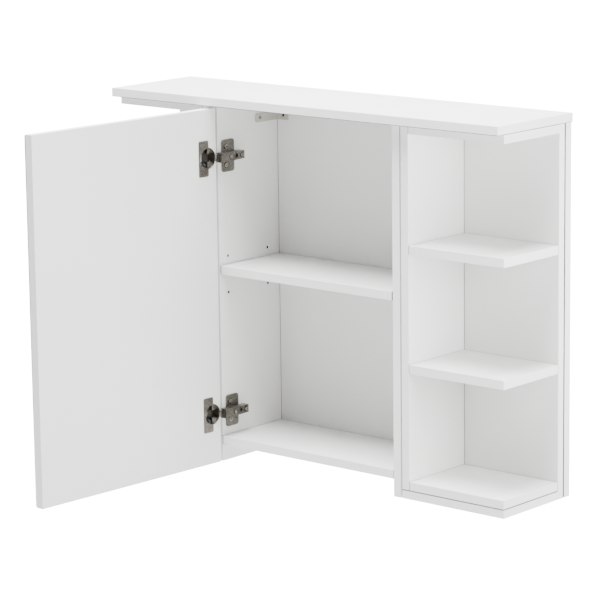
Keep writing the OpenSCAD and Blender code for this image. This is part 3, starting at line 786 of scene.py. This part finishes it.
def press_cup(which):
    """One pressing: flange, raised rim, cup wall and cup floor as a single closed surface.

    It is a grid over the angle round the cup's axis and a run from the inner floor, up the wall,
    over the rim, out to the flange's outline and back underneath to the outer floor. At each
    angle the outline is where a ray from the axis leaves the union of the rim and the plate.
    """
    centre, outer = cup_facts(which)
    inner, rim = outer - CUP_SHEET, outer + CUP_RIM
    around = 288
    angle = np.linspace(0, 2 * math.pi, around, endpoint=False)
    cos, sin = np.cos(angle), np.sin(angle)
    left, right, tall, corner = -2 * MM, 21 * MM, 31 * MM, 2.5 * MM
    with np.errstate(divide="ignore"):
        reach_x = np.where(cos > 0, right / np.maximum(cos, 1e-9), -left / np.maximum(-cos, 1e-9))
        reach_z = tall / np.maximum(np.abs(sin), 1e-9)
    ray = np.minimum(reach_x, reach_z)
    for cx, sx in ((right - corner, 1), (left + corner, -1)):
        for sz in (1, -1):
            cz = sz * (tall - corner)
            along = cx * cos + cz * sin
            gap = corner ** 2 - (cx * cx + cz * cz - along ** 2)
            hit = along + np.sqrt(np.maximum(gap, 0))
            px, pz = hit * cos, hit * sin
            in_corner = (gap > 0) & (sx * (px - cx) > 0) & (sz * (pz - cz) > 0)
            ray = np.where(in_corner & (ray > 0), np.minimum(ray, hit), ray)
    outline = np.maximum(rim, ray)

    def ring(radius, height):
        limit = outline - 0.02 * MM
        value = np.minimum(np.broadcast_to(radius, outline.shape), limit)
        return value, np.full(around, height)

    floor, hub = CUP_SHEET - CUP_DEPTH, 0.4 * MM
    run = [ring(hub, floor)]
    run += [ring(inner + out * MM, floor + rise * MM) for out, rise in
            ((-1.6, 0), (-0.6, 0.3), (-0.1, 1.0), (0, 1.6))]
    run += [ring(inner + out * MM, height * MM) for out, height in
            ((0, 0.1), (0.12, 0.6), (0.4, 0.93))]
    run += [ring(inner + 0.75 * MM, RIM_TOP), ring(outer + 0.35 * MM, RIM_TOP),
            ring(outer + 0.62 * MM, 0.93 * MM), ring(outer + 0.85 * MM, FLANGE_TOP + 0.06 * MM)]
    shoulder, level = ring(outer + 1.25 * MM, FLANGE_TOP)
    run += [(shoulder, level), (np.maximum(outline - 0.42 * MM, shoulder - 0.3 * MM), level)]
    run += [(outline - gap * MM, np.full(around, height * MM)) for gap, height in
            ((0.25, 0.72), (0.09, 0.6), (0.01, 0.4), (0.0, 0.2), (0.0, 0.0))]
    run += [ring(outer, 0.0), ring(outer, 0.8 * MM - CUP_DEPTH),
            ring(outer - 0.8 * MM, -CUP_DEPTH), ring(hub, -CUP_DEPTH)]
    radius = np.array([item[0] for item in run])
    height = np.array([item[1] for item in run])
    points = np.stack([centre[0] + radius * cos, centre[1] + height, centre[2] + radius * sin], -1)
    surface = Surface()
    surface.tube(points)
    # The cup's floor and inner wall, and the cap in the middle of its floor, get painted shade
    floor_bands = 5
    shaded = floor_bands * around
    surface.marks[:shaded] = [1] * shaded
    surface.marks[-2] = 1
    for side in (1, -1):
        add_cheek(surface, centre, outer - INSERT_GAP, side, (0.52, 0.96), 7.2 * MM, -0.9)
    surface.make(f"{which}_cup_pressing", "hinge_steel", "door", [f"{which}_hinge_cup"], 50,
                 from_door, "shaded_steel")


def add_cheek(surface, centre, reach, side, arc, near, top):
    """Adds a slab in the cup beside the link.

    Its outline is an arc of the cup between two angles, given in half turns, closed by a straight
    edge at near from the middle and the upright lines through the arc's ends. Each step gives how
    far the outline lies inwards and at what height over the mouth, both in millimetres; top is
    the height of the slab's upper face.
    """
    turn = np.linspace(arc[0] * math.pi, arc[1] * math.pi, 28)
    turn = turn[reach * np.sin(turn) > near]
    edge = np.stack([reach * np.cos(turn), reach * np.sin(turn)], 1)
    for x in (edge[-1, 0], edge[0, 0]):
        if abs(reach * math.sin(math.acos(x / reach)) - near) > 0.5 * MM:
            edge = np.concatenate([edge, [[x, near]]])
    if side < 0:
        edge = (edge * (1, -1))[::-1]
    rings = []
    for inwards, height in ((0.5, -11.2), (0.0, -10.9), (0.0, top - 0.6), (0.15, top - 0.2),
                            (0.5, top)):
        ring = inset(edge, inwards * MM)
        rings.append(np.stack([centre[0] + ring[:, 0], np.full(len(ring), centre[1] + height * MM),
                               centre[2] + ring[:, 1]], 1))
    surface.tube(np.array(rings))


def mould_damper(which):
    """The black insert in the cup: two cheeks beside the link and the damper's barrel.

    The barrel is a turned profile with a rounded nose and a groove.
    """
    centre, outer = cup_facts(which)
    surface = Surface()
    for side in (1, -1):
        add_cheek(surface, centre, outer - INSERT_GAP, side, (0.05, 0.49), 6.6 * MM, -6.3)
    low, high = closed_box(f"{which}_hinge_damper")
    axis_x, axis_z = (low[0] + high[0]) / 2, (low[2] + high[2]) / 2
    radius = (high[0] - low[0]) / 2
    around = 40
    turn = np.linspace(0, 2 * math.pi, around, endpoint=False)
    profile = [(0.1, -11.2), (1.0, -11.2), (1.0, -2.2), (0.9, -2.0), (0.9, -1.6), (1.0, -1.4),
               (1.0, -0.4), (0.95, -0.1), (0.82, 0.1), (0.6, 0.2), (0.55, 0.0), (0.1, 0.0)]
    rings = [np.stack([axis_x + radius * share * np.cos(turn),
                       np.full(around, centre[1] + height * MM),
                       axis_z + radius * share * np.sin(turn)], 1) for share, height in profile]
    surface.tube(np.array(rings))
    surface.make(f"{which}_damper_insert", "black_plastic", "door", [f"{which}_hinge_damper"], 40,
                 from_door)


def fold_link(which, fold):
    """The folded link: a rounded strip carried along a path that curls round the pivot pin.

    The path is an arc of 140 degrees round the pin, a straight run, a quarter turn of the fold
    radius and a straight leg. The strip's section is a rectangle with rounded edges.
    """
    low, high = box(f"{which}_hinge_link")
    half = LINK_SHEET / 2
    leg_x = high[0] - half
    run_y = low[1] + half
    curl_steps = 16
    turn = np.linspace(math.radians(130), math.radians(270), curl_steps)
    curl_r = PIVOT[1] - run_y
    path = [PIVOT + curl_r * np.stack([np.cos(turn), np.sin(turn)], 1)]
    corner = np.array([leg_x - fold - half, run_y + fold + half])
    bend = np.linspace(-math.pi / 2, 0, 10)
    path.append(corner + (fold + half) * np.stack([np.cos(bend), np.sin(bend)], 1))
    path.append(np.array([[leg_x, high[1]]]))
    path = np.concatenate(path)
    widths = np.full(len(path), half)
    widths[:curl_steps] = np.minimum(half, curl_r - PIN_R - PIN_PLAY)
    along = np.gradient(path, axis=0)
    along /= np.linalg.norm(along, axis=1)[:, None]
    across = np.stack([along[:, 1], -along[:, 0]], 1)
    section = rounded_outline(1.0, 1.0, 0.5, 5)
    middle, reach = (low[2] + high[2]) / 2, (high[2] - low[2]) / 2
    tall = np.sign(section[:, 1]) * (reach - 0.4 * MM * (1 - np.abs(section[:, 1])))
    rings = np.stack([
        path[:, None, 0] + across[:, None, 0] * widths[:, None] * section[None, :, 0],
        path[:, None, 1] + across[:, None, 1] * widths[:, None] * section[None, :, 0],
        np.broadcast_to(middle + tall, (len(path), len(section)))], -1)
    surface = Surface()
    surface.tube(rings)
    surface.make(f"{which}_folded_link", "hinge_steel", "cabinet", [f"{which}_hinge_link"], 45)


# ---------------------------------------------------------------- screws and small hardware
class CABINET_OT_drive_screws(bpy.types.Operator):
    """Makes the hinge, frame, top and hanger screws with their cross recess, paints the other screws
    and finishes the pins, dowels and hangers
    """
    bl_idname = "cabinet.drive_screws"
    bl_label = "Drive the screws"

    def execute(self, context):
        hinge_screws()
        body_screws()
        for name in ("wall_hanger_left", "wall_hanger_right"):
            round_edges(NODES[name], FITTING_EDGE)
            wear_material(NODES[name], paint_for("white_bracket"))
        wear_material(NODES["shelf_pins"], paint_for("bright_steel"))
        wear_material(NODES["wall_dowels"], paint_for("beech"))
        for name in ("left_unit_screws", "right_unit_screws", "cabinet_floor_screws"):
            wear_material(NODES[name], paint_for("zinc_screw"))
        return {"FINISHED"}


def hinge_screws():
    """Cup screws on the door, and plate and arm screws on the cabinet wall."""
    for which in HINGES:
        low, high = closed_box(f"{which}_cup_screws")
        middle, edge = (low + high) / 2, head_radius("cup")
        screw_set(f"{which}_cup_screw_pair", "hinge_steel", f"{which}_cup_screws",
                  [((middle[0], high[1] + CUP_SCREW_PROUD, z), (0, 1, 0), "cup", turn)
                   for z, turn in ((low[2] + edge, 0.5), (high[2] - edge, 1.1))],
                  "door", from_door)
        low, high = box(f"{which}_plate_screws")
        middle, edge = (low + high) / 2, head_radius("plate")
        screw_set(f"{which}_plate_screw_pair", "bright_steel", f"{which}_plate_screws",
                  [((high[0] - PLATE_HEAD, middle[1], z), (1, 0, 0), "plate", turn)
                   for z, turn in ((low[2] + edge, 0.2), (high[2] - edge, 0.8))])
        low, high = box(f"{which}_arm_screws")
        face, z = box(f"{which}_hinge_arm")[1][0], (low[2] + high[2]) / 2
        screw_set(f"{which}_arm_screw_pair", "bright_steel", f"{which}_arm_screws",
                  [((face, low[1] + head_radius("adjust"), z), (1, 0, 0), "adjust", 0.6),
                   ((face, high[1] - head_radius("clamp"), z), (1, 0, 0), "clamp", 0.1)])


def body_screws():
    """Frame screws seen from behind, top screws seen from below and the hangers' screws."""
    back = box("frame_screws")[1][1] - FRAME_SCREW_SUNK
    low, high = box("rear_stile_right")
    wall_in = box("cabinet_wall_right")[0][0]
    bay_in = box("right_side_wall")[1][0]
    rails = (box("rear_rail_bottom")[0][2] + RAIL_SCREW_IN,
             box("rear_rail_top")[1][2] - RAIL_SCREW_IN)
    places = [((low[0] + high[0]) / 2, low[2] + share * (high[2] - low[2]))
              for share in STILE_SHARES]
    places += [(x, z) for z in rails for x in (wall_in / 2, bay_in + BAY_SCREW_IN)]
    screw_set("frame_screw_set", "zinc_screw", "frame_screws",
              [((side * x, back, z), (0, 1, 0), "frame", 0.7 * number + side)
               for number, (x, z) in enumerate(places) for side in (1, -1)])
    low, high = box("top_panel_screws")
    edge = head_radius("top")
    screw_set("top_screw_set", "zinc_screw", "top_panel_screws",
              [((x, y, low[2] + TOP_SCREW_SUNK), (0, 0, -1), "top", x * 9 + y)
               for x in (low[0] + edge, high[0] - edge) for y in (low[1] + edge, high[1] - edge)])
    low, high = box("hanger_screws")
    middle = (low + high) / 2
    screw_set("hanger_screw_pair", "bright_steel", "hanger_screws",
              [((side * (wall_in - HANGER_SEAT), middle[1], middle[2]), (-side, 0, 0), "hanger", side)
               for side in (1, -1)])


# ---------------------------------------------------------------- studio
class CABINET_OT_set_stage(bpy.types.Operator):
    """Lays a plain pale floor, hangs soft lights and places the camera"""
    bl_idname = "cabinet.set_stage"
    bl_label = "Set the stage"

    def execute(self, context):
        settings = context.scene.studio_settings
        lay_floor(CAD_BOX[0][2] - settings.drop, settings.sky, settings.backdrop)
        world = bpy.data.worlds.new("even sky")
        context.scene.world = world
        world.use_nodes = True
        sky = world.node_tree.nodes["Background"]
        sky.inputs["Color"].default_value = (1, 1, 1, 1)
        white_to_camera(world.node_tree, sky.inputs["Strength"], settings.sky, settings.backdrop)
        for name, azimuth, elevation, distance, size, power in (
                ("overhead light", 0, 88, 2.6, 2.0, settings.overhead),
                ("front left light", -45, 20, 3.4, 2.0, settings.front)):
            soft_light(name, STAGE_MIDDLE + distance * direction(azimuth, elevation), STAGE_MIDDLE,
                       size, power)
        soft_light("side light", SIDE_LIGHT, OPEN_END, 0.5, settings.side)
        soft_light("end light", END_LIGHT, STAGE_MIDDLE, 0.8, settings.end)
        camera = bpy.data.cameras.new("camera")
        camera.lens = settings.lens
        camera.sensor_width = 36
        camera.clip_end = 60
        item = stand("camera", camera)
        item.location = CAMERA_PLACE
        item.rotation_euler = aim(*CAMERA_ANGLES)
        context.scene.camera = item
        return {"FINISHED"}


def direction(azimuth, elevation):
    """Unit vector towards an azimuth, counted from the front to the right, and an elevation."""
    a, e = math.radians(azimuth), math.radians(elevation)
    return np.array((math.sin(a) * math.cos(e), -math.cos(a) * math.cos(e), math.sin(e)))


def aim(azimuth, elevation, roll):
    """Euler angles of a camera that looks from this azimuth and elevation, turned by roll."""
    back = Vector(direction(azimuth, elevation))
    turn = (-back).to_track_quat("-Z", "Y") @ Quaternion((0, 0, 1), math.radians(roll))
    return turn.to_euler()


def white_to_camera(tree, strength, lit, seen):
    """Lets a plain white background shine at one strength on the object and look whiter itself."""
    path = tree.nodes.new("ShaderNodeLightPath")
    level = tree.nodes.new("ShaderNodeMapRange")
    level.inputs["To Min"].default_value = lit
    level.inputs["To Max"].default_value = seen
    tree.links.new(path.outputs["Is Camera Ray"], level.inputs["Value"])
    tree.links.new(level.outputs["Result"], strength)


def lay_floor(height, lit, seen):
    """A flat round floor: a grid over radius and angle, all at one height."""
    around, radii = 96, np.array([0.01, 1.0, 3.0, 8.0, 20.0])
    angle = np.linspace(0, 2 * math.pi, around, endpoint=False)
    points = np.stack([np.outer(radii, np.cos(angle)), np.outer(radii, np.sin(angle)),
                       np.full((len(radii), around), height)], -1).reshape(-1, 3)
    mesh = bpy.data.meshes.new("floor")
    faces = [face[::-1] for face in grid_faces(len(radii), around).tolist()] + [list(range(around))]
    mesh.from_pydata(points.tolist(), [], faces)
    item = stand("floor", mesh)
    paint = Paint("pale floor", Roughness=0.9, Specular_IOR_Level=0.1)
    paint.shader.inputs["Emission Color"].default_value = (1, 1, 1, 1)
    white_to_camera(paint.tree, paint.shader.inputs["Emission Strength"], lit, seen)
    paint.link(paint.ramp(paint.noise(2, 1), (0.94, 0.94, 0.94), (0.96, 0.96, 0.96)),
               paint.shader.inputs["Base Color"])
    wear_material(item, paint.material)


def soft_light(name, place, target, size, power):
    """A square area light that faces the target."""
    light = bpy.data.lights.new(name, "AREA")
    light.size = size
    light.energy = power
    item = stand(name, light)
    item.location = place
    item.rotation_euler = Vector(target - place).to_track_quat("-Z", "Y").to_euler()


# ---------------------------------------------------------------- add-on
OPERATORS = (CABINET_OT_coat_boards, CABINET_OT_make_mirror, CABINET_OT_make_hinges,
             CABINET_OT_drive_screws, CABINET_OT_set_stage)
SETTINGS = {"board_settings": BoardSettings, "mirror_settings": MirrorSettings,
            "hinge_settings": HingeSettings, "studio_settings": StudioSettings}


class CABINET_PT_panel(bpy.types.Panel):
    """Settings and steps of the mirror cabinet"""
    bl_idname = "CABINET_PT_panel"
    bl_label = "Mirror cabinet"
    bl_space_type = "VIEW_3D"
    bl_region_type = "UI"
    bl_category = "Mirror cabinet"

    def draw(self, context):
        for key, group in SETTINGS.items():
            area = self.layout.box()
            area.label(text=group.__doc__)
            for name in group.__annotations__:
                area.prop(getattr(context.scene, key), name)
        for operator in OPERATORS:
            self.layout.operator(operator.bl_idname)


def register():
    for group in SETTINGS.values():
        bpy.utils.register_class(group)
    for key, group in SETTINGS.items():
        setattr(bpy.types.Scene, key, bpy.props.PointerProperty(type=group))
    for item in (*OPERATORS, CABINET_PT_panel):
        bpy.utils.register_class(item)


def unregister():
    for item in (CABINET_PT_panel, *reversed(OPERATORS)):
        bpy.utils.unregister_class(item)
    for key in SETTINGS:
        delattr(bpy.types.Scene, key)
    for group in reversed(list(SETTINGS.values())):
        bpy.utils.unregister_class(group)


def main():
    register()
    bpy.ops.cabinet.coat_boards()
    bpy.ops.cabinet.make_mirror()
    bpy.ops.cabinet.make_hinges()
    bpy.ops.cabinet.drive_screws()
    bpy.ops.cabinet.set_stage()


if __name__ == "__main__":
    main()
